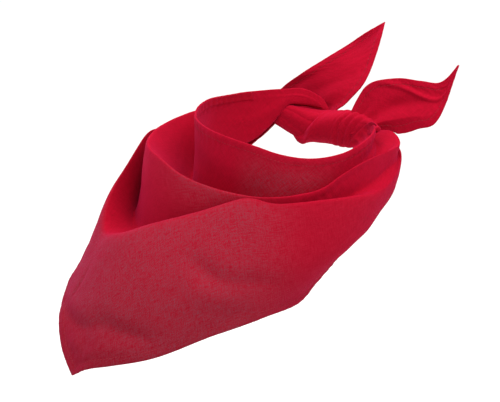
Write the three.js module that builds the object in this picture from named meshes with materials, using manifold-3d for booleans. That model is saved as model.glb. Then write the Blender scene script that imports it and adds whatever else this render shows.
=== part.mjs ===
// A triangular cloth neckerchief, worn: the long edge runs round the neck, the two ends are
// knotted behind it, and the square corner hangs at the front under two cowl folds.
// Millimetres, +Z up. The origin is the centre of the neck opening, the wearer's front is
// towards -Y and the wearer's left towards +X.

import * as THREE from "three";
import { mergeVertices } from "three/addons/utils/BufferGeometryUtils.js";
import Module from "manifold-3d";

const neckRadius = 91; // of the ring that the long edge makes round the neck
const frontDrop = 209; // from the neck plane down to the square corner
const clothThickness = 1.2; // a plain weave with its fine ripples
const hemWidth = 8;
const hemThickness = 1; // the turned layer of a hem
const knotHeight = 36;
const tailLength = 110; // from the middle of the knot to a free end
const tailBelly = 5; // how far the middle of a tail stands out from its edges
const pieceGap = 0.3;

const clothColour = 0xb3142f;
const hemColour = 0xa30f28;

const tipTurn = -7; // where the square corner hangs, in degrees round from the front
const hemStart = -104; // the hems run into the knot's gathers beyond these two turns
const hemEnd = 136;
const tipRow = [tipTurn, 2.735, -0.998];

// The fold lines of the cloth from the neck edge outwards, each with a row for a place round
// the neck. Turn is in degrees from the front, towards the wearer's left; out is the distance
// from the neck's axis as a share of neckRadius; up is the height as a share of frontDrop;
// ahead, where it isn't 0, is how many degrees further round the line lies than its section.
// Crisp is 0 for a soft bend and 1 for a sharp crease.
const neckLine = {
  crisp: 0,
  rows: [
    [-124, 0.945, -0.058, -39],
    [-121, 0.967, -0.013, -36],
    [-118, 0.967, 0.024, -27],
    [-114, 0.967, 0.021, -17],
    [-108, 0.967, 0.019, -8],
    [-98, 0.967, 0.024, 0],
    [-68, 0.978, 0.048, 0],
    [-40, 0.995, 0.057, 0],
    [-10, 0.995, 0.067, 0],
    [15, 1, 0.067, 0],
    [30, 1, 0.055, 0],
    [44, 1, 0.026, 0],
    [60, 1, 0.002, 0],
    [85, 1, -0.001, 0],
    [110, 1, 0.019, 0],
    [132, 0.967, 0.014, 0],
    [146, 0.923, -0.038, 0],
  ],
};

const firstValley = {
  crisp: 0.35,
  rows: [
    [-124, 0.935, -0.066, -39],
    [-121, 0.93, -0.052, -35],
    [-118, 0.92, -0.047, -26],
    [-116, 0.92, -0.046, -19.5],
    [-112, 0.91, -0.1, -15],
    [-108, 0.92, -0.16, -12],
    [-104, 0.94, -0.215, -8],
    [-98, 1, -0.265, -2],
    [-80, 1.099, -0.297, 0],
    [-40, 1.066, -0.325, 0],
    [-7, 1.077, -0.316, 0],
    [20, 1.066, -0.268, 0],
    [50, 1.066, -0.225, 0],
    [80, 1.055, -0.153, 0],
    [110, 1.055, -0.096, 0],
    [146, 0.923, -0.067, 0],
  ],
};

const innerCowl = {
  crisp: 0.55,
  rows: [
    [-124, 1.02, -0.062, -2],
    [-108, 1.231, -0.086, 0],
    [-80, 1.396, -0.091, 0],
    [-60, 1.462, -0.086, 0],
    [-35, 1.516, -0.085, 0],
    [-20, 1.446, -0.082, 0],
    [-7, 1.374, -0.11, 0],
    [10, 1.286, -0.134, 0],
    [31, 1.176, -0.16, 0],
    [54, 1.143, -0.148, 0],
    [68, 1.143, -0.124, 0],
    [81, 1.132, -0.072, 0],
    [93, 1.143, -0.045, 0],
    [110, 1.176, -0.043, 0],
    [126, 1.255, -0.046, 0],
    [146, 1.035, -0.057, 0],
  ],
};

const secondValley = {
  crisp: 0.45,
  rows: [
    [-124, 0.99, -0.096, 0],
    [-108, 1.187, -0.201, 0],
    [-80, 1.538, -0.373, 0],
    [-40, 1.725, -0.507, 0],
    [-20, 1.626, -0.507, 0],
    [-7, 1.538, -0.478, 0],
    [10, 1.407, -0.421, 0],
    [30, 1.242, -0.344, 0],
    [60, 1.187, -0.287, 0],
    [85, 1.154, -0.201, 0],
    [110, 1.165, -0.144, 0],
    [130, 1.143, -0.124, 0],
    [146, 0.945, -0.096, 0],
  ],
};

const outerCowl = {
  crisp: 0.55,
  rows: [
    [-124, 1.04, -0.11, 0],
    [-108, 1.363, -0.148, 0],
    [-90, 1.516, -0.163, 0],
    [-70, 1.604, -0.158, 0],
    [-57, 1.67, -0.15, 0],
    [-50, 1.775, -0.239, 0],
    [-42, 1.945, -0.359, 0],
    [-30, 2.038, -0.493, 0],
    [-20, 1.956, -0.443, 0],
    [-7, 1.714, -0.337, 0],
    [10, 1.484, -0.237, 0],
    [32, 1.297, -0.144, 0],
    [42, 1.275, -0.16, 0],
    [66, 1.253, -0.162, 0],
    [82, 1.264, -0.166, 0],
    [104, 1.286, -0.182, 0],
    [122, 1.28, -0.14, 0],
    [134, 1.24, -0.1, 0],
    [146, 1.055, -0.086, 0],
  ],
};

const panelBelly = {
  crisp: 0,
  rows: [
    [-124, 1.01, -0.139, 0],
    [-108, 1.275, -0.23, 0],
    [-80, 1.736, -0.431, 0],
    [-50, 2.159, -0.612, 0],
    [-30, 2.335, -0.699, 0],
    [-7, 2.286, -0.67, 0],
    [15, 1.912, -0.536, 0],
    [35, 1.604, -0.464, 0],
    [58, 1.363, -0.469, 0],
    [80, 1.27, -0.425, 0],
    [104, 1.22, -0.32, 0],
    [122, 1.22, -0.245, 0],
    [134, 1.143, -0.163, 0],
    [146, 0.967, -0.115, 0],
  ],
};

// The two legs of the triangle meet at the square corner.
const rightLeg = [
  [-124, 0.99, -0.167],
  [-108, 1.03, -0.278],
  [-96, 1.319, -0.411],
  [-80, 1.758, -0.574],
  [-60, 2.143, -0.718],
  [-48, 2.374, -0.794],
  [-34, 2.516, -0.852],
  [-22, 2.637, -0.885],
  [-14, 2.692, -0.952],
  tipRow,
];

const leftLeg = [
  tipRow,
  [-3, 2.648, -0.937],
  [2, 2.516, -0.895],
  [10, 2.297, -0.842],
  [25, 1.868, -0.732],
  [40, 1.56, -0.679],
  [58, 1.154, -0.679],
  [72, 1.077, -0.569],
  [90, 1.033, -0.44],
  [120, 0.967, -0.263],
  [146, 0.923, -0.139],
];

// The knot and the turn of cloth wound round it, as a row for a place round the neck: the
// middle's out and up as above, and half its depth and half its height as shares of knotHeight.
const knotRows = [
  [145.6, 0.967, -0.062, 0.2, 0.3],
  [158, 0.945, -0.086, 0.306, 0.361],
  [172, 0.912, -0.12, 0.361, 0.444],
  [190, 0.879, -0.148, 0.389, 0.5],
  [208, 0.868, -0.153, 0.389, 0.5],
  [224, 0.93, -0.134, 0.3, 0.46],
  [236.4, 1.005, -0.115, 0.14, 0.3],
];

const wrapRows = [
  [178, 0.896, -0.134, 0.472, 0.528],
  [188, 0.879, -0.148, 0.514, 0.583],
  [204, 0.874, -0.153, 0.514, 0.583],
  [216, 0.879, -0.148, 0.472, 0.556],
];

const knotMiddle = [198, 0.879, -0.153]; // turn, out and up, as in the tables above

// A tail's two edges from the knot to its tip, as a row for a place along it: x, y and z of
// one edge and then of the other, from the middle of the knot, as shares of tailLength.
const upperTailRows = [
  [0, -0.14, -0.06, 0.07, -0.03, -0.02, 0.04],
  [0.12, -0.54, -0.02, 0.23, 0.07, 0.08, 0.18],
  [0.3, -0.44, 0.09, 0.41, 0.16, 0.15, 0.28],
  [0.52, -0.26, 0.24, 0.58, 0.24, 0.27, 0.46],
  [0.76, -0.1, 0.44, 0.75, 0.2, 0.47, 0.72],
  [1, 0.11, 0.63, 0.95, 0.13, 0.64, 0.95],
];

const sideTailRows = [
  [0, 0.3, -0.02, 0.12, 0.42, -0.04, 0.06],
  [0.14, 0.35, 0.09, 0.38, 0.73, 0.06, 0.19],
  [0.3, 0.44, 0.16, 0.54, 0.87, 0.11, 0.21],
  [0.48, 0.68, 0.27, 0.63, 1, 0.2, 0.25],
  [0.66, 0.89, 0.36, 0.64, 1.13, 0.29, 0.29],
  [0.84, 1.06, 0.44, 0.67, 1.17, 0.4, 0.47],
  [1, 1.17, 0.5, 0.83, 1.18, 0.52, 0.82],
];

// How finely each piece is divided.
const stepsToTip = 30;
const stepsFromTip = 36;
const foldShares = [0, 0.12, 0.36, 0.64, 0.88]; // places between one fold line and the next
const walkSteps = 48; // along a section, where a length is measured
const knotSteps = 20;
const wrapSteps = 8;
const knotSides = 16;
const knotSquareness = 2.3; // 2 is an ellipse, more is boxier
const tailSteps = 14;
const tailRows = 5;
const hemRows = 2;
const mergeDistance = 1e-4;
const clothRoughness = 0.85;
const foldsWalked = 2; // a hem is never wider than this many folds of a section
const leastSlant = 0.6; // the most slanted stretch of a hem is drawn as if at this share

const wasm = await Module();
wasm.setup();

// The cubic from one value to the next, with its slope at both, at a share of the way.
function cubic(from, to, slopeFrom, slopeTo, share) {
  const square = share * share;
  const cube = square * share;
  return (
    (2 * cube - 3 * square + 1) * from +
    (cube - 2 * square + share) * slopeFrom +
    (3 * square - 2 * cube) * to +
    (cube - square) * slopeTo
  );
}

// The slope of a column at a row: the mean of the slopes on both sides, the nearer one
// counting more.
function slopeAt(rows, k, column) {
  const step = (j) => (rows[j + 1][column] - rows[j][column]) / (rows[j + 1][0] - rows[j][0]);
  if (k === 0) return step(0);
  if (k === rows.length - 1) return step(k - 1);
  const before = rows[k][0] - rows[k - 1][0];
  const after = rows[k + 1][0] - rows[k][0];
  return (step(k - 1) * after + step(k) * before) / (before + after);
}

// A smooth curve through the rows of a table, whose first column is the place. It gives the
// other columns at a place.
function through(rows, place) {
  let k = 0;
  while (k < rows.length - 2 && place > rows[k + 1][0]) k += 1;
  const width = rows[k + 1][0] - rows[k][0];
  const share = THREE.MathUtils.clamp((place - rows[k][0]) / width, 0, 1);
  return rows[k].slice(1).map((value, c) => {
    const slopeFrom = slopeAt(rows, k, c + 1) * width;
    const slopeTo = slopeAt(rows, k + 1, c + 1) * width;
    return cubic(value, rows[k + 1][c + 1], slopeFrom, slopeTo, share);
  });
}

// A point from its turn in degrees, its distance from the neck's axis and its height.
function atTurn(turn, out, up) {
  const angle = THREE.MathUtils.degToRad(turn);
  return new THREE.Vector3(out * Math.sin(angle), -out * Math.cos(angle), up);
}

const hemLine = (turn) => through(turn < tipTurn ? rightLeg : leftLeg, turn);
const folds = [neckLine, firstValley, innerCowl, secondValley, outerCowl, panelBelly];
const crisps = [...folds.map((fold) => fold.crisp), 0];
const lastFold = folds.length;

// The points where a section at one turn meets the fold lines, as [out, up, ahead].
function sectionOf(turn) {
  const lines = folds.map((fold) => through(fold.rows, turn));
  return [...lines, hemLine(turn)].map(([out, up, ahead]) => [
    out * neckRadius,
    up * frontDrop,
    ahead ?? 0,
  ]);
}

// The point of a section at a place from 0, the neck edge, to lastFold, the outer hem. The
// places between are joined by cubics over their distance apart, and a crisp fold has short
// slopes.
function sectionPoint(section, place) {
  const distance = (k) =>
    Math.hypot(section[k + 1][0] - section[k][0], section[k + 1][1] - section[k][1]);
  const along = [0];
  for (let k = 0; k < lastFold; k += 1) along.push(along[k] + distance(k));
  const rows = section.map((columns, k) => [along[k], ...columns]);
  const k = Math.min(Math.floor(place), lastFold - 1);
  const width = along[k + 1] - along[k];
  return section[k].map((value, c) => {
    const slopeFrom = slopeAt(rows, k, c + 1) * width * (1 - crisps[k]);
    const slopeTo = slopeAt(rows, k + 1, c + 1) * width * (1 - crisps[k + 1]);
    return cubic(value, section[k + 1][c], slopeFrom, slopeTo, place - k);
  });
}

function clothPoint(turn, place) {
  const [out, up, ahead] = sectionPoint(sectionOf(turn), place);
  return atTurn(turn + ahead, out, up);
}

// The place on a section that is a distance along the cloth from its neck edge or its hem.
function placeAt(turn, distance, fromHem) {
  let before = clothPoint(turn, fromHem ? lastFold : 0);
  let walked = 0;
  for (let k = 1; k <= walkSteps; k += 1) {
    const share = (k / walkSteps) * foldsWalked;
    const place = fromHem ? lastFold - share : share;
    const here = clothPoint(turn, place);
    const step = here.distanceTo(before);
    if (walked + step >= distance) {
      const left = (distance - walked) / step;
      const back = (foldsWalked / walkSteps) * (1 - left);
      return fromHem ? place + back : place - back;
    }
    walked += step;
    before = here;
  }
  return fromHem ? lastFold - foldsWalked : foldsWalked;
}

// The unit normals of a grid of points, towards the wrong side of the cloth.
function gridNormals(grid) {
  const rows = grid.length - 1;
  const columns = grid[0].length - 1;
  return grid.map((line, i) =>
    line.map((_, j) => {
      const across = grid[Math.min(i + 1, rows)][j].clone().sub(grid[Math.max(i - 1, 0)][j]);
      const down = line[Math.min(j + 1, columns)].clone().sub(line[Math.max(j - 1, 0)]);
      return across.cross(down).normalize();
    }),
  );
}

function geometryOf(points, triangles) {
  const geometry = new THREE.BufferGeometry().setFromPoints(points);
  return geometry.setIndex(triangles.flat());
}

// A closed wall of even thickness round a grid of points, moved sideways by offset.
function sheetGeometry(grid, thickness, offset = 0) {
  const normals = gridNormals(grid);
  const rows = grid.length;
  const columns = grid[0].length;
  const layer = (side) =>
    grid.flatMap((line, i) =>
      line.map((point, j) => point.clone().addScaledVector(normals[i][j], offset + side)),
    );
  const points = [...layer(thickness / 2), ...layer(-thickness / 2)];
  const back = rows * columns;
  const at = (i, j) => i * columns + j;
  const triangles = [];
  for (let i = 0; i < rows - 1; i += 1) {
    for (let j = 0; j < columns - 1; j += 1) {
      const corners = [at(i, j), at(i + 1, j), at(i + 1, j + 1), at(i, j + 1)];
      const [a, b, c, d] = corners;
      const [e, f, g, h] = corners.map((corner) => corner + back);
      triangles.push([a, b, c], [a, c, d], [e, g, f], [e, h, g]);
    }
  }
  const edge = [];
  for (let i = 0; i < rows - 1; i += 1) edge.push(at(i, 0));
  for (let j = 0; j < columns - 1; j += 1) edge.push(at(rows - 1, j));
  for (let i = rows - 1; i > 0; i -= 1) edge.push(at(i, columns - 1));
  for (let j = columns - 1; j > 0; j -= 1) edge.push(at(0, j));
  edge.forEach((from, k) => {
    const to = edge[(k + 1) % edge.length];
    triangles.push([to, from, from + back], [to, from + back, to + back]);
  });
  return geometryOf(points, triangles);
}

// A closed tube carried round the neck through the rows of a table, with flat ends. Growth
// makes it that much larger all round.
function tubeGeometry(rows, steps, growth = 0) {
  const first = rows[0][0];
  const last = rows[rows.length - 1][0];
  const reach = THREE.MathUtils.radToDeg(growth / neckRadius);
  const points = [];
  const triangles = [];
  const rounded = (value) => Math.sign(value) * Math.abs(value) ** (2 / knotSquareness);
  for (let i = 0; i <= steps; i += 1) {
    const turn = first - reach + ((last - first + 2 * reach) * i) / steps;
    const [out, up, depth, height] = through(rows, turn);
    for (let j = 0; j < knotSides; j += 1) {
      const angle = (2 * Math.PI * j) / knotSides;
      const side = (depth * knotHeight + growth) * rounded(Math.cos(angle));
      const rise = (height * knotHeight + growth) * rounded(Math.sin(angle));
      points.push(atTurn(turn, out * neckRadius + side, up * frontDrop + rise));
    }
  }
  for (let i = 0; i < steps; i += 1) {
    for (let j = 0; j < knotSides; j += 1) {
      const next = (j + 1) % knotSides;
      const a = i * knotSides + j;
      const b = i * knotSides + next;
      triangles.push([a, a + knotSides, b + knotSides], [a, b + knotSides, b]);
    }
  }
  const end = steps * knotSides;
  for (let j = 1; j < knotSides - 1; j += 1) {
    triangles.push([0, j, j + 1], [end, end + j + 1, end + j]);
  }
  return geometryOf(points, triangles);
}

function solidOf(geometry) {
  const merged = mergeVertices(geometry, mergeDistance);
  return new wasm.Manifold(
    new wasm.Mesh({
      numProp: 3,
      vertProperties: merged.attributes.position.array,
      triVerts: new Uint32Array(merged.index.array),
    }),
  );
}

function meshOf(name, solid, colour) {
  const { numProp, vertProperties, triVerts } = solid.getMesh();
  const geometry = new THREE.BufferGeometry();
  geometry.setAttribute("position", new THREE.BufferAttribute(vertProperties, numProp));
  geometry.setIndex(new THREE.BufferAttribute(triVerts, 1));
  geometry.computeVertexNormals();
  const material = new THREE.MeshStandardMaterial({
    color: colour,
    roughness: clothRoughness,
    metalness: 0,
    side: THREE.DoubleSide,
  });
  const mesh = new THREE.Mesh(geometry, material);
  mesh.name = name;
  return mesh;
}

const startTurn = neckLine.rows[0][0];
const endTurn = neckLine.rows[neckLine.rows.length - 1][0];
const evenly = (from, to, steps) =>
  Array.from({ length: steps + 1 }, (_, i) => from + ((to - from) * i) / steps);
const rightTurns = evenly(startTurn, tipTurn, stepsToTip);
const leftTurns = evenly(tipTurn, endTurn, stepsFromTip);
const allTurns = [...rightTurns, ...leftTurns.slice(1)];
const cornerGap = THREE.MathUtils.radToDeg(pieceGap / 2 / (tipRow[1] * neckRadius));

const hemmed = (turn) => turn > hemStart && turn < hemEnd;
const neckHemTurns = allTurns.filter(hemmed);
const rightHemTurns = [...rightTurns.slice(0, -1).filter(hemmed), tipTurn - cornerGap];
const leftHemTurns = [tipTurn + cornerGap, ...leftTurns.slice(1).filter(hemmed)];

// The whole drape, from the neck edge over both cowls to the outer hem.
function drapeGeometry() {
  const places = [];
  for (let k = 0; k < lastFold; k += 1) places.push(...foldShares.map((share) => k + share));
  places.push(lastFold);
  const grid = allTurns.map((turn) => places.map((place) => clothPoint(turn, place)));
  return sheetGeometry(grid, clothThickness);
}

// The turned layer of a hem, on the wrong side of the cloth. Where an edge runs at a slant to
// the sections, its width along them grows, so that it is as wide across.
function hemGeometry(turns, fromHem) {
  const edgePlace = fromHem ? lastFold : 0;
  const edge = turns.map((turn) => clothPoint(turn, edgePlace));
  const grid = turns.map((turn, i) => {
    const ahead = edge[Math.min(i + 1, edge.length - 1)];
    const run = ahead.clone().sub(edge[Math.max(i - 1, 0)]).normalize();
    const near = clothPoint(turn, placeAt(turn, hemWidth, fromHem));
    const inward = near.sub(edge[i]).normalize();
    const across = inward.clone().addScaledVector(run, -inward.dot(run)).length();
    const width = hemWidth / Math.max(across, leastSlant);
    const line = evenly(0, width, hemRows).map((distance) =>
      clothPoint(turn, placeAt(turn, distance, fromHem)),
    );
    return fromHem ? line.reverse() : line;
  });
  const offset = (clothThickness + hemThickness) / 2 + pieceGap;
  return sheetGeometry(grid, hemThickness, offset);
}

function tailGeometry(rows, middle) {
  const corner = (columns, k) =>
    new THREE.Vector3(...columns.slice(k, k + 3)).multiplyScalar(tailLength).add(middle);
  const grid = evenly(0, 1, tailSteps).map((place) => {
    const columns = through(rows, place);
    const [from, to] = [corner(columns, 0), corner(columns, 3)];
    return evenly(0, 1, tailRows).map((share) => from.clone().lerp(to, share));
  });
  const normals = gridNormals(grid);
  const width = (line) => line[0].distanceTo(line[tailRows]) / tailLength;
  const swelled = grid.map((line, i) =>
    line.map((point, j) => {
      const swell = tailBelly * Math.sin((Math.PI * j) / tailRows) * width(line);
      return point.clone().addScaledVector(normals[i][j], swell);
    }),
  );
  return sheetGeometry(swelled, clothThickness);
}

function knotSolid(growth) {
  const core = solidOf(tubeGeometry(knotRows, knotSteps, growth));
  return core.add(solidOf(tubeGeometry(wrapRows, wrapSteps, growth)));
}

const [middleTurn, middleOut, middleUp] = knotMiddle;
const middle = atTurn(middleTurn, middleOut * neckRadius, middleUp * frontDrop);
const knotRoom = knotSolid(pieceGap);
const clearOfKnot = (geometry) => solidOf(geometry).subtract(knotRoom);

const cloth = new THREE.Group();
cloth.add(
  meshOf("neck_drape", clearOfKnot(drapeGeometry()), clothColour),
  meshOf("neck_hem", clearOfKnot(hemGeometry(neckHemTurns, false)), hemColour),
  meshOf("right_leg_hem", clearOfKnot(hemGeometry(rightHemTurns, true)), hemColour),
  meshOf("left_leg_hem", clearOfKnot(hemGeometry(leftHemTurns, true)), hemColour),
);

const tie = new THREE.Group();
tie.add(
  meshOf("knot", knotSolid(0), clothColour),
  meshOf("upper_tail", clearOfKnot(tailGeometry(upperTailRows, middle)), clothColour),
  meshOf("side_tail", clearOfKnot(tailGeometry(sideTailRows, middle)), clothColour),
);

const neckerchief = new THREE.Group();
neckerchief.add(cloth, tie);

export default neckerchief;
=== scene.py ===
# A crimson triangular neckerchief in the form it has when worn. The long edge runs round the
# neck, the ends are knotted behind it, and the square corner hangs at the front.
# Metres, +Z up, the wearer's front towards -Y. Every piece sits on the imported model's frame.

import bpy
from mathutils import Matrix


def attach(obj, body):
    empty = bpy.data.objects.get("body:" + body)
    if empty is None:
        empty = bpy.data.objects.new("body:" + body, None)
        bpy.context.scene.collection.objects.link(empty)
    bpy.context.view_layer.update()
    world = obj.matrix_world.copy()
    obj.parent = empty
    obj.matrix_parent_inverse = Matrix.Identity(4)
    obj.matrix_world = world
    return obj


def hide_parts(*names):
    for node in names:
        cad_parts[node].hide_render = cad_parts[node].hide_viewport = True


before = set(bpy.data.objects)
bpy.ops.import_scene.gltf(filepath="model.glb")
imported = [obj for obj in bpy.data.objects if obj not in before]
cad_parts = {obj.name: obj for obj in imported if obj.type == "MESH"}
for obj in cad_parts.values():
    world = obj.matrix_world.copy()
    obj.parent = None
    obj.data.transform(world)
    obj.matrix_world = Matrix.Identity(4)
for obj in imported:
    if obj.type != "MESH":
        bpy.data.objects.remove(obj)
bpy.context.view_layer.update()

import math

import bmesh
import bpy
import numpy as np
from mathutils import Vector


# Smooth curves, noise and meshes that all pieces share

def cubicBlend(start, end, slopeStart, slopeEnd, share):
    # The cubic between two values with given slopes, at a share from 0 to 1 of the way.
    square, cube = share ** 2, share ** 3
    return ((2 * cube - 3 * square + 1) * start + (cube - 2 * square + share) * slopeStart
            + (3 * square - 2 * cube) * end + (cube - square) * slopeEnd)


def rowSlopes(values, gaps):
    # The slope at each row is the mean of the slopes on its two sides, the nearer one heavier.
    step = np.diff(values, axis=-2) / gaps
    slopes = np.empty_like(values)
    slopes[..., 0, :], slopes[..., -1, :] = step[..., 0, :], step[..., -1, :]
    before, after = gaps[..., :-1, :], gaps[..., 1:, :]
    slopes[..., 1:-1, :] = ((step[..., :-1, :] * after + step[..., 1:, :] * before)
                            / (before + after))
    return slopes


def throughRows(rows, place):
    # A smooth curve through a table whose first column is the place; gives its other columns.
    table = np.array(rows, float)
    at, values = table[:, 0], table[:, 1:]
    slopes = rowSlopes(values, np.diff(at)[:, None])
    place = np.clip(place, at[0], at[-1])
    k = np.clip(np.searchsorted(at, place, side="right") - 1, 0, len(at) - 2)
    width = (at[k + 1] - at[k])[..., None]
    share = (place - at[k])[..., None] / width
    return cubicBlend(values[k], values[k + 1], slopes[k] * width, slopes[k + 1] * width, share)


def smoothNoise(x, y, seed):
    # A random height from -1 to 1 at each whole-number crossing, eased from one to the next.
    size = 64
    heights = np.random.default_rng(seed).uniform(-1, 1, (size, size))
    i, j = np.floor(x).astype(int), np.floor(y).astype(int)
    u, v = x - i, y - j
    u, v = u * u * (3 - 2 * u), v * v * (3 - 2 * v)
    near = heights[i % size, j % size] * (1 - u) + heights[(i + 1) % size, j % size] * u
    far = heights[i % size, (j + 1) % size] * (1 - u) + heights[(i + 1) % size, (j + 1) % size] * u
    return near * (1 - v) + far * v


def unit(vectors):
    # Each vector divided by its own length.
    return vectors / np.maximum(np.linalg.norm(vectors, axis=-1, keepdims=True), 1e-12)


def lengthsAlong(points, axis):
    # The distance walked along one direction of a grid of points, from its first row.
    steps = np.linalg.norm(np.diff(points, axis=axis), axis=-1)
    zero = np.zeros_like(np.take(steps, [0], axis=axis))
    return np.concatenate([zero, np.cumsum(steps, axis=axis)], axis=axis)


def gridNormals(points):
    # The cross product of the two directions of the grid; it points to the cloth's right side.
    return unit(np.cross(np.gradient(points, axis=1), np.gradient(points, axis=0)))


def bell(distance, width):
    # 1 in the middle, and e to the minus square of distance over width away from it.
    return np.exp(-(distance / width) ** 2)


def makeObject(name, points, faces, uv=None, rubbed=None):
    # A smooth-shaded object, with UV layers for the cloth's threads and for painted sheen and
    # shade.
    mesh = bpy.data.meshes.new(name)
    mesh.from_pydata(points.reshape(-1, 3).tolist(), [], faces.tolist())
    corners = np.empty(len(mesh.loops), np.int32)
    mesh.loops.foreach_get("vertex_index", corners)
    for layerName, places in (("cloth", uv), ("rubbed", rubbed)):
        if places is not None:
            layer = mesh.uv_layers.new(name=layerName)
            values = places.reshape(-1, 2)[corners].astype(np.float32)
            layer.data.foreach_set("uv", values.ravel())
    mesh.polygons.foreach_set("use_smooth", np.ones(len(mesh.polygons), bool))
    mesh.update()
    piece = bpy.data.objects.new(name, mesh)
    bpy.context.scene.collection.objects.link(piece)
    return piece


def loopFaces(rings, count):
    # Quads between neighbouring rings of count points, each ring closed on itself.
    i, j = np.meshgrid(np.arange(rings - 1), np.arange(count), indexing="ij")
    a, b = i * count + j, i * count + (j + 1) % count
    return np.stack([a, b, b + count, a + count], -1).reshape(-1, 4)


def clothWall(name, points, uv, thickness, rubbed=None, rimSteps=3):
    # A closed wall round a grid: each row of points gives a ring that runs along the right
    # side, round a half circle at the edge, back along the wrong side and round the other edge.
    normals = gridNormals(points)
    half = thickness[..., None] / 2
    right, wrong = points + normals * half, points - normals * half
    angles = np.pi * np.arange(1, rimSteps + 1) / (rimSteps + 1)

    def rim(edge, inner, sideNormals, sideHalf):
        away = unit(edge - inner)
        away = unit(away - sideNormals * np.sum(away * sideNormals, -1, keepdims=True))
        turnSteps = angles[None, :, None]
        return (edge[:, None] + sideNormals[:, None] * sideHalf[:, None] * np.cos(turnSteps)
                + away[:, None] * sideHalf[:, None] * np.sin(turnSteps))

    farRim = rim(points[:, -1], points[:, -2], normals[:, -1], half[:, -1])
    nearRim = rim(points[:, 0], points[:, 1], -normals[:, 0], half[:, 0])
    ring = np.concatenate([right, farRim, wrong[:, ::-1], nearRim], axis=1)

    def roundRing(values):
        far = np.repeat(values[:, -1:], rimSteps, axis=1)
        near = np.repeat(values[:, :1], rimSteps, axis=1)
        return np.concatenate([values, far, values[:, ::-1], near], axis=1)

    rings, count = ring.shape[:2]
    faces = loopFaces(rings, count)
    columns = points.shape[1]
    j = np.arange(columns - 1)
    over, under = j, 2 * columns + rimSteps - 1 - j
    firstCap = np.stack([over, under, under - 1, over + 1], -1)
    lastCap = firstCap[:, ::-1] + (rings - 1) * count
    # the second UV layer: how much painted sheen and shade goes on
    if rubbed is not None:
        rubbed = roundRing(np.stack([rubbed, 0 * rubbed], -1))
    faces = np.concatenate([faces, firstCap, lastCap])
    piece = makeObject(name, ring, faces, roundRing(uv), rubbed)
    closeHoles(piece)
    return piece


def closeHoles(piece, sides=12):
    # Fills holes of up to that many sides, such as the half-round ends of a wall's rims, and
    # turns every face outwards.
    work = bmesh.new()
    work.from_mesh(piece.data)
    bmesh.ops.remove_doubles(work, verts=work.verts, dist=1e-6)
    bmesh.ops.holes_fill(work, edges=[e for e in work.edges if e.is_boundary], sides=sides)
    bmesh.ops.recalc_face_normals(work, faces=work.faces)
    work.to_mesh(piece.data)
    work.free()


def addNode(tree, kind, settings=None, values=None, links=None):
    # A node with its settings, its sockets' values and what its sockets are linked from.
    node = tree.nodes.new(kind)
    for key, value in (settings or {}).items():
        setattr(node, key, value)
    for key, value in (values or {}).items():
        node.inputs[key].default_value = value
    for key, socket in (links or {}).items():
        tree.links.new(socket, node.inputs[key])
    return node


# The camera, the lights and the floor

studio = {
    "imageSize": (500, 402),  # pixels
    "focalPixels": 1300.0,
    "distance": 1.3,
    "azimuth": 50.0,
    "elevation": 25.0,
    "neckPixel": (286.0, 124.0),  # where the neck's centre falls in the picture
    "floorHeight": -0.6,
    "floorReach": 60.0,  # from the middle to each side
    "floorColour": "#F8F8F8",
    "lights": [  # name, azimuth, elevation, distance, size, watts
        ("keyLight", 95.0, 62.0, 0.85, 0.5, 3.7),
        ("topLight", 20.0, 78.0, 0.95, 0.6, 3.0),
        ("rimLight", -112.0, 42.0, 0.9, 0.5, 2.6),
    ],
    "sky": (0.2, 1.55),  # the room's brightness at the horizon and below, and straight above
}


def towards(azimuth, elevation):
    # The unit vector at that many degrees round from the front and up from level.
    a, e = math.radians(azimuth), math.radians(elevation)
    return np.array([math.sin(a) * math.cos(e), -math.cos(a) * math.cos(e), math.sin(e)])


def turnedTo(back):
    # The turn that points an object's -Z away from back and keeps its +Y as high as it can.
    return Vector(back).to_track_quat("Z", "Y").to_euler()


def makeStudio(s):
    # The camera is moved sideways and up until the neck's centre falls on its pixel. The sky's
    # brightness grows evenly with the height of the direction.
    width, height = s["imageSize"]
    a = math.radians(s["azimuth"])
    right = np.array([math.cos(a), math.sin(a), 0])
    back = towards(s["azimuth"], s["elevation"])
    up = np.cross(back, right)
    pixel = s["distance"] / s["focalPixels"]
    place = (back * s["distance"] - right * (s["neckPixel"][0] - width / 2) * pixel
             - up * (height / 2 - s["neckPixel"][1]) * pixel)
    lens = bpy.data.cameras.new("camera")
    lens.sensor_width = 36.0
    lens.lens = s["focalPixels"] * lens.sensor_width / width
    camera = bpy.data.objects.new("camera", lens)
    camera.location = place
    camera.rotation_euler = turnedTo(back)
    bpy.context.scene.collection.objects.link(camera)
    bpy.context.scene.camera = camera
    for name, azimuth, elevation, distance, size, watts in s["lights"]:
        lamp = bpy.data.lights.new(name, "AREA")
        lamp.shape, lamp.size, lamp.energy = "DISK", size, watts
        light = bpy.data.objects.new(name, lamp)
        light.location = towards(azimuth, elevation) * distance
        light.rotation_euler = turnedTo(towards(azimuth, elevation))
        bpy.context.scene.collection.objects.link(light)
    world = bpy.data.worlds.new("studio")
    world.use_nodes = True
    tree = world.node_tree
    around = addNode(tree, "ShaderNodeTexCoord")
    height = addNode(tree, "ShaderNodeSeparateXYZ", links={0: around.outputs["Generated"]})
    bright = addNode(tree, "ShaderNodeMapRange",
                     values={"From Min": 0.0, "From Max": 1.0, "To Min": s["sky"][0],
                             "To Max": s["sky"][1]}, links={"Value": height.outputs[2]})
    background = tree.nodes["Background"]
    background.inputs["Color"].default_value = (1, 1, 1, 1)
    tree.links.new(bright.outputs[0], background.inputs["Strength"])
    bpy.context.scene.world = world
    bpy.context.scene.view_settings.view_transform = "Standard"  # dyes keep their full colour
    corners = np.array([[-1, -1, 0], [1, -1, 0], [1, 1, 0], [-1, 1, 0]]) * s["floorReach"]
    corners[:, 2] = s["floorHeight"]
    floor = makeObject("floor", corners, np.array([[0, 1, 2, 3]]))
    return floor


# Materials

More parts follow.
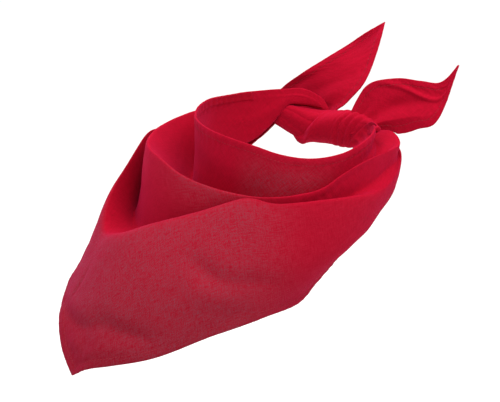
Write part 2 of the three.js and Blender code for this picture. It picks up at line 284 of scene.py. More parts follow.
def linear(hexColour):
    # Each sRGB channel of a hex colour turned to linear light.
    channels = np.array([int(hexColour[k:k + 2], 16) for k in (1, 3, 5)]) / 255
    out = np.where(channels <= 0.04045, channels / 12.92, ((channels + 0.055) / 1.055) ** 2.4)
    return (*out.tolist(), 1.0)


def newMaterial(name):
    # An empty material and its node tree.
    material = bpy.data.materials.new(name)
    material.use_nodes = True
    tree = material.node_tree
    tree.nodes.clear()
    return material, tree


def finishMaterial(tree, shader):
    addNode(tree, "ShaderNodeOutputMaterial", links={"Surface": shader.outputs[0]})


# Plain-woven cotton, piece dyed crimson. Matt, with a faint rosy bloom where the light grazes
# the fibre ends. Slubs run both ways along the threads. Down the front, painted sheen is mixed
# into the colour as greyish streaks along the threads; being darker than the dye, it also paints
# shade there. Low down, painted shade darkens the colour towards the square corner.
# The real threads lie 0.45 mm apart; they are drawn 0.9 mm apart so that they just show, and
# the streaks are 1.1 mm wide.
cotton = {
    "threadSpacing": 0.0009,
    "slubLength": 0.012,
    "streakWidth": 0.0011,
    "colour": "#B00B28",
    "deepColour": "#9A091F",
    # painted sheen: the greyish streak colour and its largest share; darker than the dye, it also
    # paints shade
    "paintedSheenColour": "#74404C",
    "paintedSheenShare": 0.75,
    "paintedShadeHeights": (-0.2, -0.06),  # painted shade: darker the lower the cloth hangs, towards the square corner
    "paintedShadeShare": 0.5,
    "paintedShadeColour": "#5E0614",
    "weaveBump": 0.00014,
    "creaseBump": 0.0012,
    "roughness": 0.9,
    "specular": 0.03,
    "sheen": 0.28,
    "sheenColour": "#EC3C80",
}


def wovenCotton(name, c):
    material, tree = newMaterial(name)
    place = addNode(tree, "ShaderNodeUVMap", {"uv_map": "cloth"})
    turned = addNode(tree, "ShaderNodeMapping", values={"Rotation": (0, 0, math.radians(45))},
                     links={"Vector": place.outputs["UV"]})
    threads = 1 / c["threadSpacing"]

    def maths(operation, first, second):
        return addNode(tree, "ShaderNodeMath", {"operation": operation},
                       links={0: first, 1: second})

    # the square weave: one thread's sine times the other's
    scaled = addNode(tree, "ShaderNodeMapping", values={"Scale": (threads * math.pi,) * 3},
                     links={"Vector": turned.outputs[0]})
    split = addNode(tree, "ShaderNodeSeparateXYZ", links={0: scaled.outputs[0]})
    warp = addNode(tree, "ShaderNodeMath", {"operation": "SINE"}, links={0: split.outputs[0]})
    weft = addNode(tree, "ShaderNodeMath", {"operation": "SINE"}, links={0: split.outputs[1]})
    weave = maths("MULTIPLY", warp.outputs[0], weft.outputs[0])
    # slubs: noise drawn out along each thread direction
    slubs = []
    wide = 1 / c["streakWidth"]
    for across in ((1 / c["slubLength"], wide), (wide, 1 / c["slubLength"])):
        stretched = addNode(tree, "ShaderNodeMapping", values={"Scale": (*across, 1)},
                            links={"Vector": turned.outputs[0]})
        slubs.append(addNode(tree, "ShaderNodeTexNoise", values={"Scale": 1.0, "Detail": 2.0},
                             links={"Vector": stretched.outputs[0]}))
    slub = maths("ADD", slubs[0].outputs["Fac"], slubs[1].outputs["Fac"])
    shade = addNode(tree, "ShaderNodeMapRange",
                    values={"From Min": 0.6, "From Max": 1.3, "To Min": 0.0, "To Max": 1.0},
                    links={"Value": slub.outputs[0]})
    dyed = addNode(tree, "ShaderNodeMix", {"data_type": "RGBA"},
                   values={6: linear(c["deepColour"]), 7: linear(c["colour"])},
                   links={0: shade.outputs[0]})
    # painted sheen and shade down the front: greyish streaks and fine grain, as much as the second
    # UV layer says
    layer = addNode(tree, "ShaderNodeUVMap", {"uv_map": "rubbed"})
    zone = addNode(tree, "ShaderNodeSeparateXYZ", links={0: layer.outputs["UV"]})
    where = addNode(tree, "ShaderNodeTexCoord")
    position = addNode(tree, "ShaderNodeSeparateXYZ", links={0: where.outputs["Object"]})
    grain = addNode(tree, "ShaderNodeTexNoise", values={"Scale": wide * 0.9, "Detail": 2.0},
                    links={"Vector": turned.outputs[0]})
    speck = maths("MULTIPLY", grain.outputs["Fac"], slub.outputs[0])
    rubbed = addNode(tree, "ShaderNodeMapRange",
                     values={"From Min": 0.36, "From Max": 0.72, "To Min": 0.0,
                             "To Max": c["paintedSheenShare"]}, links={"Value": speck.outputs[0]})
    mixed = maths("MULTIPLY", rubbed.outputs[0], zone.outputs[0])
    # painted shade: the colour darkens the lower the cloth hangs, down towards the square corner
    paintedShade = addNode(tree, "ShaderNodeMapRange", {"interpolation_type": "SMOOTHSTEP"},
                  values={"From Min": c["paintedShadeHeights"][0], "From Max": c["paintedShadeHeights"][1],
                          "To Min": c["paintedShadeShare"], "To Max": 0.0},
                  links={"Value": position.outputs[2]})
    paintedShadeMixed = addNode(tree, "ShaderNodeMix", {"data_type": "RGBA"},
                     values={7: linear(c["paintedShadeColour"])},
                     links={0: paintedShade.outputs[0], 6: dyed.outputs[2]})
    coloured = addNode(tree, "ShaderNodeMix", {"data_type": "RGBA"},
                       values={7: linear(c["paintedSheenColour"])},
                       links={0: mixed.outputs[0], 6: paintedShadeMixed.outputs[2]})
    rumple = addNode(tree, "ShaderNodeTexNoise",
                     values={"Scale": 55.0, "Detail": 3.0, "Distortion": 0.6},
                     links={"Vector": place.outputs["UV"]})
    soft = addNode(tree, "ShaderNodeBump",
                   values={"Strength": 0.12, "Distance": c["creaseBump"]},
                   links={"Height": rumple.outputs["Fac"]})
    slubBump = addNode(tree, "ShaderNodeBump",
                       values={"Strength": 0.3, "Distance": c["weaveBump"]},
                       links={"Height": slub.outputs[0], "Normal": soft.outputs[0]})
    fine = addNode(tree, "ShaderNodeBump", values={"Strength": 0.7, "Distance": c["weaveBump"]},
                   links={"Height": weave.outputs[0], "Normal": slubBump.outputs[0]})
    shader = addNode(tree, "ShaderNodeBsdfPrincipled",
                     values={"Roughness": c["roughness"], "Specular IOR Level": c["specular"],
                             "Sheen Weight": c["sheen"], "Sheen Roughness": 0.45,
                             "Sheen Tint": linear(c["sheenColour"])},
                     links={"Base Color": coloured.outputs[2], "Normal": fine.outputs[0]})
    finishMaterial(tree, shader)
    return material


# Spun polyester sewing thread, dyed to match. Slightly less matt and darker than the cotton,
# with plies 1.1 mm apart.
threadLook = {"colour": "#9A0C26", "roughness": 0.85, "twist": 0.0011}


def sewingThread(name, t):
    material, tree = newMaterial(name)
    place = addNode(tree, "ShaderNodeTexCoord")
    ply = addNode(tree, "ShaderNodeTexNoise", values={"Scale": 1 / t["twist"], "Detail": 1.0},
                  links={"Vector": place.outputs["Object"]})
    bump = addNode(tree, "ShaderNodeBump", values={"Strength": 0.4, "Distance": 0.0001},
                   links={"Height": ply.outputs["Fac"]})
    shader = addNode(tree, "ShaderNodeBsdfPrincipled",
                     values={"Base Color": linear(t["colour"]), "Roughness": t["roughness"]},
                     links={"Normal": bump.outputs[0]})
    finishMaterial(tree, shader)
    return material


def pale(name, colour):
    # Matt white paint on a smooth studio floor, with no pattern.
    material, tree = newMaterial(name)
    shader = addNode(tree, "ShaderNodeBsdfPrincipled",
                     values={"Base Color": linear(colour), "Roughness": 0.9})
    finishMaterial(tree, shader)
    return material


# The drape: the fold lines from the neck edge outwards, with a row for a place round the neck.
# Turn is in degrees from the front, towards the wearer's left; out is the distance from the
# neck's axis as a share of neckRadius; up is the height as a share of frontDrop; ahead is how
# many degrees further round the line lies than its section. Crisp is 0 for a soft bend and 1
# for a sharp crease.
drape = {
    "neckRadius": 0.091,
    "frontDrop": 0.209,
    "thickness": 0.0008,
    "hemWidth": 0.008,
    "hemThickness": 0.0007,
    "tipTurn": -7.0,
    "columns": 330,  # round the neck
    "rowsPerFold": 23,
    "rumple": 0.0006,  # height of the small unevenness all over
}
crisps = [0, 0.35, 0.55, 0.45, 0.55, 0, 0]
neckLine = [
    [-124, 0.945, -0.058, -39],
    [-121, 0.967, -0.013, -36],
    [-118, 0.967, 0.024, -27],
    [-114, 0.967, 0.021, -17],
    [-108, 0.967, 0.019, -8],
    [-98, 0.967, 0.024, 0],
    [-68, 0.978, 0.048, 0],
    [-40, 0.995, 0.057, 0],
    [-10, 0.995, 0.067, 0],
    [15, 1, 0.067, 0],
    [30, 1, 0.055, 0],
    [44, 1, 0.026, 0],
    [60, 1, 0.002, 0],
    [85, 1, -0.001, 0],
    [110, 1, 0.019, 0],
    [132, 0.967, 0.014, 0],
    [146, 0.923, -0.038, 0],
]
firstValley = [
    [-124, 0.935, -0.066, -39],
    [-121, 0.93, -0.052, -35],
    [-118, 0.92, -0.047, -26],
    [-116, 0.92, -0.046, -19.5],
    [-112, 0.91, -0.1, -15],
    [-108, 0.92, -0.16, -12],
    [-104, 0.94, -0.215, -8],
    [-98, 1, -0.265, -2],
    [-80, 1.099, -0.297, 0],
    [-40, 1.066, -0.325, 0],
    [-7, 1.077, -0.316, 0],
    [20, 1.066, -0.268, 0],
    [50, 1.066, -0.225, 0],
    [80, 1.055, -0.153, 0],
    [110, 1.055, -0.096, 0],
    [146, 0.923, -0.067, 0],
]
innerCowl = [
    [-124, 1.02, -0.062, -2],
    [-108, 1.231, -0.086, 0],
    [-80, 1.396, -0.091, 0],
    [-60, 1.462, -0.086, 0],
    [-35, 1.516, -0.085, 0],
    [-20, 1.446, -0.082, 0],
    [-7, 1.374, -0.11, 0],
    [10, 1.286, -0.134, 0],
    [31, 1.176, -0.16, 0],
    [54, 1.143, -0.148, 0],
    [68, 1.143, -0.124, 0],
    [81, 1.132, -0.072, 0],
    [93, 1.143, -0.045, 0],
    [110, 1.176, -0.043, 0],
    [126, 1.262, -0.045, 0],
    [139, 1.15, -0.036, 0],
    [146, 1.035, -0.053, 0],
]
secondValley = [
    [-124, 0.99, -0.096, 0],
    [-108, 1.187, -0.201, 0],
    [-80, 1.538, -0.373, 0],
    [-40, 1.725, -0.507, 0],
    [-20, 1.626, -0.507, 0],
    [-7, 1.538, -0.478, 0],
    [10, 1.407, -0.421, 0],
    [30, 1.242, -0.344, 0],
    [60, 1.187, -0.287, 0],
    [85, 1.154, -0.201, 0],
    [110, 1.187, -0.144, 0],
    [130, 1.228, -0.12, 0],
    [146, 0.98, -0.094, 0],
]
outerCowl = [
    [-124, 1.04, -0.11, 0],
    [-108, 1.363, -0.148, 0],
    [-90, 1.516, -0.163, 0],
    [-70, 1.604, -0.158, 0],
    [-57, 1.67, -0.15, 0],
    [-50, 1.775, -0.239, 0],
    [-42, 1.945, -0.359, 0],
    [-30, 2.038, -0.493, 0],
    [-20, 1.956, -0.443, 0],
    [-7, 1.714, -0.337, 0],
    [10, 1.484, -0.237, 0],
    [32, 1.297, -0.144, 0],
    [42, 1.275, -0.16, 0],
    [66, 1.253, -0.162, 0],
    [82, 1.264, -0.166, 0],
    [104, 1.286, -0.182, 0],
    [122, 1.28, -0.14, 0],
    [134, 1.24, -0.1, 0],
    [146, 1.055, -0.086, 0],
]
panelBelly = [
    [-124, 1.01, -0.139, 0],
    [-108, 1.275, -0.23, 0],
    [-80, 1.736, -0.431, 0],
    [-50, 2.159, -0.612, 0],
    [-30, 2.335, -0.699, 0],
    [-7, 2.286, -0.67, 0],
    [15, 1.912, -0.536, 0],
    [35, 1.604, -0.464, 0],
    [58, 1.363, -0.469, 0],
    [80, 1.27, -0.425, 0],
    [104, 1.22, -0.32, 0],
    [122, 1.22, -0.245, 0],
    [134, 1.143, -0.163, 0],
    [146, 0.967, -0.115, 0],
]
rightLeg = [
    [-124, 0.99, -0.167],
    [-108, 1.03, -0.278],
    [-96, 1.319, -0.411],
    [-80, 1.758, -0.574],
    [-60, 2.143, -0.718],
    [-48, 2.374, -0.794],
    [-34, 2.516, -0.852],
    [-22, 2.637, -0.885],
    [-14, 2.692, -0.952],
    [-7, 2.735, -0.998],
]
leftLeg = [
    [-7, 2.735, -0.998],
    [-3, 2.648, -0.937],
    [2, 2.516, -0.895],
    [10, 2.297, -0.842],
    [25, 1.868, -0.732],
    [40, 1.56, -0.679],
    [58, 1.154, -0.679],
    [72, 1.077, -0.569],
    [90, 1.033, -0.44],
    [120, 0.967, -0.263],
    [146, 0.923, -0.139],
]
foldLines = [neckLine, firstValley, innerCowl, secondValley, outerCowl, panelBelly]
lastFold = len(foldLines)


def foldRows(turns):
    # The seven points [out, up, ahead] where the section at each turn meets the fold lines.
    lines = [throughRows(rows, turns) for rows in foldLines]
    hem = np.where((turns < drape["tipTurn"])[:, None], throughRows(rightLeg, turns),
                   throughRows(leftLeg, turns))
    lines.append(np.concatenate([hem, np.zeros((len(turns), 1))], -1))
    scale = np.array([drape["neckRadius"], drape["frontDrop"], 1.0])
    return np.stack(lines, 1) * scale


def drapePoints(turns, places):
    # In each section a cubic runs over the straight distance from fold line to fold line,
    # with slopes cut short at a crisp fold. The section is then turned round the neck's axis.
    rows = foldRows(turns)
    gaps = np.linalg.norm(np.diff(rows[..., :2], axis=1), axis=-1)[..., None] + 1e-9
    slopes = rowSlopes(rows, gaps) * (1 - np.array(crisps))[None, :, None]
    places = np.broadcast_to(places, (len(turns), np.shape(places)[-1]))
    k = np.clip(places.astype(int), 0, lastFold - 1)
    pick = lambda table, index: np.take_along_axis(table, index[..., None], axis=1)
    width = pick(gaps, k)
    section = cubicBlend(pick(rows, k), pick(rows, k + 1), pick(slopes, k) * width,
                         pick(slopes, k + 1) * width, (places - k)[..., None])
    angle = np.radians(turns)[:, None] + np.radians(section[..., 2])
    return np.stack([section[..., 0] * np.sin(angle), -section[..., 0] * np.cos(angle),
                     section[..., 1]], -1)


def evenTurns():
    # Turns spaced evenly by the distance along the belly, with the corner's own turn kept.
    first, last = neckLine[0][0], neckLine[-1][0]
    fine = np.linspace(first, last, 2000)
    walked = lengthsAlong(drapePoints(fine, np.array([3.5])), 0)[:, 0] + (fine - first) * 0.0012
    tip = np.interp(drape["tipTurn"], fine, walked)
    before = int(round(drape["columns"] * tip / walked[-1]))
    marks = np.concatenate([np.linspace(0, tip, before),
                            np.linspace(tip, walked[-1], drape["columns"] - before + 1)[1:]])
    turns = np.interp(marks, walked, fine)
    turns[before - 1] = drape["tipTurn"]
    return turns


# Creases and soft ridges pressed into the drape: the two ends as turn and place, the width
# and the height in millimetres, up towards the right side of the cloth.
drapeCreases = [
    [-27, 5.83, -4, 5.26, 8, -4.2],
    [-8.5, 5.22, 11, 5.71, 9, -4.6],
    [-15.5, 5.65, 10.5, 5.84, 9, 2.6],
    [14, 4.67, 26.5, 4.98, 9, -3.6],
    [23.5, 4.93, 48.5, 5.35, 10, -3.6],
    [14, 4.92, 36, 5.62, 12, 2.2],
    [-17, 5.81, -6.5, 5.47, 2.6, -1],
    [-16, 5.94, -3.5, 5.65, 2.6, -1],
    [-12.5, 5.92, -0.5, 5.81, 2.8, -0.9],
    [-24.5, 4.65, -24, 5.53, 3, -1.4],
    [40, 2.45, 100, 2.3, 5, -1.2],
    [66, 3.6, 118, 3.4, 6, -1.6],
    [96, 0.55, 138, 0.45, 5, -2.0],
    [84, 0.8, 130, 0.75, 4, 1.4],
    [100, 1.2, 128, 1.6, 5, -1.8],
    [-118, 0.55, -84, 0.35, 4, -1.3],
]


def nearLine(points, turns, places, crease):
    # How close each point lies to a crease: a bell over its distance from the nearest of the
    # points along the crease, faded out in other folds and at the crease's ends.
    turnA, placeA, turnB, placeB, width, height = crease
    shares = np.linspace(0, 1, 14)
    lineTurns = turnA + (turnB - turnA) * shares
    linePlaces = placeA + (placeB - placeA) * shares
    line = drapePoints(lineTurns, linePlaces[:, None])[:, 0]
    squared = ((points[..., None, :] - line) ** 2).sum(-1)
    nearest = squared.argmin(-1)
    fade = np.sin(np.pi * np.clip(shares, 0.04, 0.96)) ** 0.6
    window = np.clip(1.4 - np.abs(places[None, :] - linePlaces[nearest]), 0, 1)
    return (bell(np.sqrt(squared.min(-1)), width / 1000) * height / 1000 * window
            * fade[nearest])


# The hems: how far they stand proud, and the groove and the puckers that their stitches pull.
hems = {
    "rise": 0.00045,
    "stitchPlace": 0.86,  # of the hem's width, from the edge
    "grooveDepth": 0.0009,
    "grooveWidth": 0.0008,
    "puckerHeight": 0.00028,
    "puckerPitch": 0.0085,
    "puckerReach": 0.007,
}


def hemRelief(distance, along, width, pull=1):
    # A smooth step inside the hem's width, less a bell at the stitch line, plus a sine along
    # the edge that noise shifts. The pull is the share of the last two that shows.
    inside = 1 / (1 + np.exp((distance - width) / 0.0004))
    groove = bell(distance - width * hems["stitchPlace"], hems["grooveWidth"])
    shift = 1.7 * smoothNoise(along / 0.02, distance / 0.05, 5)
    pucker = np.sin(2 * np.pi * along / hems["puckerPitch"] + shift)
    near = bell(distance - width * 0.8, hems["puckerReach"])
    return (hems["rise"] * inside - hems["grooveDepth"] * pull * groove
            + hems["puckerHeight"] * pull * pucker * near)


def eased(value, start, end):
    # 0 before start, 1 past end, and smooth between: 3t^2 - 2t^3.
    share = np.clip((value - start) / (end - start), 0, 1)
    return share * share * (3 - 2 * share)


def paintedSheenAmount(turns, places):
    # How much painted sheen, which also paints shade, goes on: on the panel, along the front of
    # the two crests and on the collar's front, fading towards the wearer's left and towards the
    # square corner.
    turn, place = turns[:, None], places[None, :]
    side = 1 - 0.85 * eased(turn, 28, 62)
    panel = eased(place, 3.9, 4.3) * side * eased(turn, -75, -45)
    corner = 1 - 0.55 * eased(place, 5.1, 5.8) * bell(turn + 12, 18)
    crest = 0.9 * bell(place - 2.1, 0.3) * bell(turn - 8, 22)
    collar = 0.8 * bell(place - 0.42, 0.28) * eased(turn, 12, 34) * (1 - eased(turn, 55, 88))
    return np.clip(np.maximum(np.maximum(panel * corner, crest), collar), 0, 1)


def makeDrape(d):
    # The smooth drape, moved along its normals by the creases, a noise all over, a ripple at
    # the legs and the hems, then made into a wall that is thicker under the hems.
    turns = evenTurns()
    places = np.linspace(0, lastFold, lastFold * d["rowsPerFold"] + 1)
    points = drapePoints(turns, places)
    down, round_ = lengthsAlong(points, 1), lengthsAlong(points, 0)
    fromNeck, fromHem = down, down[:, -1:] - down
    run = unit(np.gradient(points[:, -1], axis=0))
    inward = unit(points[:, -8] - points[:, -1])
    slant = np.sqrt(1 - np.clip(np.sum(run * inward, -1) ** 2, 0, 0.64))[:, None]
    fromHem = fromHem * slant
    normals = gridNormals(points)
    height = sum(nearLine(points, turns, places, crease) for crease in drapeCreases)
    x, y = round_ / 0.045, down / 0.03
    height = height + d["rumple"] * (smoothNoise(x, y, 1) + 0.5 * smoothNoise(x * 2.3, y * 2.1, 2))
    edgeRipple = smoothNoise(round_ / 0.022, down / 0.05, 3) * bell(fromHem, 0.03)
    height = height + 0.0011 * edgeRipple * np.clip((20 - turns[:, None]) / 40, 0.25, 1)
    height = height + hemRelief(fromNeck, round_[:, :1], d["hemWidth"])
    height = height + hemRelief(fromHem, round_[:, -1:], d["hemWidth"])
    points = points + normals * height[..., None]
    middle = np.argmin(np.abs(turns - d["tipTurn"]))
    uv = np.stack([round_ - round_[middle:middle + 1], -down], -1)
    thickness = d["thickness"] + d["hemThickness"] * np.clip(
        1.5 - np.minimum(fromNeck, fromHem) / d["hemWidth"], 0, 1)
    piece = clothWall("neck_drape_cloth", points, uv, thickness, paintedSheenAmount(turns, places))
    return piece, turns, places, points, fromNeck, fromHem


def placesAtDistance(distances, places, wanted):
    # For each section, the place where the distance from an edge first reaches a value.
    order = distances if distances[0, 0] < distances[0, -1] else distances[:, ::-1]
    marks = places if distances[0, 0] < distances[0, -1] else places[::-1]
    past = (order > wanted).argmax(axis=1)
    before = np.maximum(past - 1, 0)
    rows = np.arange(len(order))
    low, high = order[rows, before], order[rows, past]
    share = np.clip((wanted - low) / np.maximum(high - low, 1e-9), 0, 1)
    return marks[before] + (marks[past] - marks[before]) * share


def hemStrip(name, points, turns, places, distances, keep, width, thickness):
    # The turned layer: a strip from the edge to the hem's width, laid on the wrong side.
    shares = np.linspace(0.02, 1, 7)
    steps = np.stack([placesAtDistance(distances, places, width * share) for share in shares], 1)
    index = (steps[keep] / places[-1]) * (len(places) - 1)
    low = np.clip(index.astype(int), 0, len(places) - 2)
    part = (index - low)[..., None]
    body = points[keep]
    rows = np.arange(len(body))[:, None]
    strip = body[rows, low] * (1 - part) + body[rows, low + 1] * part
    normals = gridNormals(points)[keep]
    side = unit(normals[rows, low] * (1 - part) + normals[rows, low + 1] * part)
    strip = strip - side * (drape["thickness"] / 2 + drape["hemThickness"] / 2 + thickness / 2)
    along = lengthsAlong(strip, 0)
    across = lengthsAlong(strip, 1)
    uv = np.stack([along, across], -1)
    if distances[0, 0] > distances[0, -1]:
        strip, uv = strip[:, ::-1], uv[:, ::-1]
    piece = clothWall(name, strip, uv, np.full(strip.shape[:2], thickness))
    return piece


# Stitches: short arched lengths of thread, all joined into one mesh.
stitching = {
    "pitch": 0.0034,
    "length": 0.0027,
    "radius": 0.00022,
    "sides": 6,
    "rings": 5,
}


def stitchMesh(lines, s):
    # Each seam is cut into stitches of equal pitch. A stitch is a thin capsule whose middle
    # stands proud of the cloth and whose ends dip into it.
    shares = np.linspace(-0.5, 0.5, s["rings"])
    angles = 2 * np.pi * np.arange(s["sides"]) / s["sides"]
    girth = np.sqrt(np.clip(1 - (2 * shares) ** 4, 0.02, 1)) * s["radius"]
    allPoints = []
    for points, normals in lines:
        walked = lengthsAlong(points, 0)
        centres = np.arange(s["pitch"], walked[-1] - s["pitch"], s["pitch"])
        take = lambda table: np.stack(
            [np.interp(centres, walked, table[:, k]) for k in range(3)], -1)
        centre, normal = take(points), unit(take(normals))
        run = unit(take(np.gradient(points, axis=0)))
        side = unit(np.cross(normal, run))
        lift = s["radius"] * 1.1 * (1 - (2 * shares) ** 2) - s["radius"] * 0.4
        axis = (centre[:, None] + run[:, None] * (shares * s["length"])[None, :, None]
                + normal[:, None] * lift[None, :, None])
        ring = (side[:, None, None] * np.cos(angles)[None, None, :, None]
                + normal[:, None, None] * np.sin(angles)[None, None, :, None])
        allPoints.append(axis[:, :, None] + ring * girth[None, :, None, None])
    stacked = np.concatenate(allPoints)
    one = loopFaces(s["rings"], s["sides"])
    size = s["rings"] * s["sides"]
    faces = (one[None] + np.arange(len(stacked))[:, None, None] * size).reshape(-1, 4)
    return stacked, faces


def seamLine(points, normals, distances, places, wanted, offset):
    # The points of a grid at a wanted distance from an edge, moved off the middle of the wall.
    at = placesAtDistance(distances, places, wanted) / places[-1] * (len(places) - 1)
    low = np.clip(at.astype(int), 0, len(places) - 2)
    part = (at - low)[:, None]
    rows = np.arange(len(points))
    line = points[rows, low] * (1 - part) + points[rows, low + 1] * part
    side = unit(normals[rows, low] * (1 - part) + normals[rows, low + 1] * part)
    return line + side * offset, side * np.sign(offset)


# The knot: a gathered bundle behind the neck with a turn of cloth wound round it. Rows hold
# the turn, the middle's out and up as above, and half the depth and half the height as shares
# of knotHeight.
knot = {
    "height": 0.036,
    "squareness": 2.3,
    "bundleRings": 120,
    "wrapRings": 90,
    "sides": 128,
    "wrapSlants": (4, 11.5),  # degrees, at the wrap's right and left ends
    "gatherHeight": 0.001,
    "pleatHeight": 0.0022,
    "pinchDepth": 0.006,
}
bundleRows = [
    [145.6, 1, -0.062, 0.08, 0.18],
    [158, 0.975, -0.088, 0.2, 0.38],
    [167, 0.93, -0.104, 0.33, 0.52],
    [176, 0.9, -0.117, 0.4, 0.555],
    [190, 0.879, -0.133, 0.4, 0.5],
    [204, 0.874, -0.147, 0.37, 0.48],
    [214, 0.89, -0.147, 0.33, 0.48],
    [224, 0.935, -0.134, 0.28, 0.45],
    [236.4, 1.005, -0.115, 0.14, 0.3],
]
wrapRows = [
    [174, 0.9, -0.117, 0.34, 0.485],
    [179, 0.893, -0.12, 0.44, 0.558],
    [186, 0.885, -0.125, 0.49, 0.563],
    [196, 0.877, -0.135, 0.514, 0.54],
    [203, 0.873, -0.145, 0.51, 0.525],
    [208.5, 0.873, -0.148, 0.44, 0.5],
    [212, 0.89, -0.146, 0.18, 0.33],
]


def carriedTube(rows, rings, sides, slants, ripple):
    # A superellipse carried round the neck through the rows of a table. Its rings are slanted:
    # turn = the ring's turn - slant x sin(angle). The ripple is added to both half sizes, as a
    # function of the ring's turn and of the angle round it.
    turns = np.linspace(rows[0][0], rows[-1][0], rings)
    out, up, depth, height = throughRows(rows, turns).T
    angle = 2 * np.pi * np.arange(sides) / sides
    share = np.linspace(0, 1, rings)[:, None]
    extra = ripple(turns[:, None], angle[None, :])
    power = 2 / knot["squareness"]
    rounded = lambda value: np.sign(value) * np.abs(value) ** power
    side = (depth[:, None] * knot["height"] + extra) * rounded(np.cos(angle))
    rise = (height[:, None] * knot["height"] + extra) * rounded(np.sin(angle))
    radius = out[:, None] * drape["neckRadius"] + side
    slant = slants[0] + (slants[1] - slants[0]) * share
    turn = np.radians(turns[:, None] - slant * np.sin(angle))
    points = np.stack([radius * np.sin(turn), -radius * np.cos(turn),
                       up[:, None] * drape["frontDrop"] + rise], -1)
    around = angle[None, :] * knot["height"] * 0.45
    along = share * math.radians(rows[-1][0] - rows[0][0]) * drape["neckRadius"]
    uv = np.stack(np.broadcast_arrays(along, around), -1)
    return points, uv


def cappedTube(name, points, uv):
    # A closed tube: quads between the rings, and each end filled by closeHoles.
    rings, sides = points.shape[:2]
    piece = makeObject(name, points, loopFaces(rings, sides), uv)
    closeHoles(piece, sides)
    return piece


def pleats(phase, sharpness=0.6):
    # Rounded ridges with narrow valleys: the absolute value of a sine, raised to a power.
    return np.abs(np.sin(phase)) ** sharpness - 0.6


def bundleRipple(turn, angle):
    # Gathers that run along the bundle and drift round it, and at its right end pleats that
    # cross it at a slant, one every 6 degrees.
    drift = angle * 3.5 + 0.02 * turn + 0.8 * np.sin(turn / 18)
    crossing = bell(turn - 170, 13)
    across = pleats(np.pi * (turn + 5 * np.sin(angle) - 182) / 6, 0.7)
    return (knot["gatherHeight"] * pleats(drift) * (1 - crossing)
            + knot["pleatHeight"] * across * crossing)


def wrapRipple(turn, angle):
    # A smooth lit face. Pleats gather at its right end, and a deep pinch bites its left edge
    # low on the inner side.
    right = 0.0016 * pleats(np.pi * (turn - 182) / 5.2, 0.7) * bell(turn - 176, 7)
    pinch = -knot["pinchDepth"] * bell(turn - 208, 2.2) * bell(angle - 3.7, 0.4)
    fold = 0.0022 * bell(turn - 204, 2.4) * bell(angle - 3.9, 0.8)
    lump = 0.0006 * np.sin(2 * angle + 1.0 + turn / 13)
    return right + pinch + fold + lump


# The curl: the neck hem rolls over as it enters the knot. Rows hold the place along the curl,
# then x, y and z of its rim and of its foot, as shares of the neck's radius.
curl = {
    "rows": 90,
    "columns": 40,
    "thickness": 0.0012,
    "hollow": 0.003,
}
curlRows = [
    [0, 0.803, 0.549, 0.046, 0.819, 0.549, 0.028],
    [0.143, 0.79, 0.615, 0.054, 0.832, 0.582, 0.023],
    [0.286, 0.705, 0.67, 0.052, 0.75, 0.615, -0.046],
    [0.429, 0.582, 0.725, 0.012, 0.685, 0.637, -0.113],
    [0.571, 0.457, 0.769, -0.081, 0.616, 0.648, -0.185],
    [0.714, 0.37, 0.758, -0.177, 0.53, 0.659, -0.257],
    [0.857, 0.309, 0.736, -0.275, 0.454, 0.659, -0.317],
    [1, 0.248, 0.736, -0.355, 0.365, 0.67, -0.373],
]


def makeCurl(name, c):
    # Straight from rim to foot, then hollowed by a sine; small folds run down from the rim.
    along = np.linspace(0, 1, c["rows"])
    edges = throughRows(curlRows, along) * drape["neckRadius"]
    share = np.linspace(0, 1, c["columns"])[None, :, None]
    points = edges[:, None, :3] + (edges[:, None, 3:] - edges[:, None, :3]) * share
    normals = gridNormals(points)
    folds = 0.0009 * pleats(np.pi * (along[:, None] * 6 + 0.5 * share[..., 0]), 0.8)
    inward = np.sin(np.pi * share[..., 0]) * c["hollow"]
    height = folds * np.clip(share[..., 0] * 4, 0, 1) + inward
    points = points + normals * height[..., None]
    uv = np.stack([lengthsAlong(points, 0), lengthsAlong(points, 1)], -1)
    return clothWall(name, points, uv, np.full(points.shape[:2], c["thickness"]))


# The tails. Rows hold the place along a tail, then x, y and z of one edge and of the other,
# from the middle of the knot, as shares of tailLength.
tails = {
    "length": 0.110,
    "belly": 0.005,
    "knotMiddle": (198, 0.879, -0.153),
    "rows": 110,
    "columns": 64,
    "thickness": 0.0008,
    "hemWidth": 0.0075,
    "hemPull": 0.55,
    "fanHeight": 0.0012,
    "ridgeHeight": 0.0028,
    "valleyDepth": 0.0036,
    "gatherHeight": 0.0014,
    "foldUnder": 0.011,
}
upperTailRows = [
    [0, -0.3, -0.06, -0.02, -0.03, -0.02, 0.04],
    [0.12, -0.724, -0.03, 0.093, 0.07, 0.08, 0.18],
    [0.21, -0.602, 0.01, 0.256, 0.12, 0.12, 0.23],
    [0.33, -0.43, 0.09, 0.415, 0.17, 0.17, 0.31],
    [0.52, -0.26, 0.24, 0.58, 0.24, 0.27, 0.46],
    [0.76, -0.1, 0.44, 0.75, 0.2, 0.47, 0.72],
    [0.88, 0.005, 0.535, 0.852, 0.175, 0.55, 0.84],
    [1, 0.123, 0.637, 0.958, 0.127, 0.64, 0.96],
]
sideTailRows = [
    [0, 0.3, -0.02, 0.12, 0.42, -0.04, 0.06],
    [0.14, 0.35, 0.09, 0.38, 0.73, 0.06, 0.205],
    [0.3, 0.44, 0.16, 0.54, 0.87, 0.11, 0.235],
    [0.48, 0.68, 0.27, 0.63, 1, 0.2, 0.28],
    [0.66, 0.89, 0.36, 0.64, 1.125, 0.29, 0.325],
    [0.84, 1.06, 0.44, 0.66, 1.16, 0.4, 0.5],
    [0.93, 1.125, 0.475, 0.735, 1.17, 0.462, 0.665],
    [1, 1.177, 0.517, 0.838, 1.18, 0.519, 0.836],
]


def knotMiddle(t):
    # The x, y and z of a turn, an out and an up.
    turn, out, up = t["knotMiddle"]
    angle = math.radians(turn)
    radius = out * drape["neckRadius"]
    return np.array([radius * math.sin(angle), -radius * math.cos(angle), up * drape["frontDrop"]])


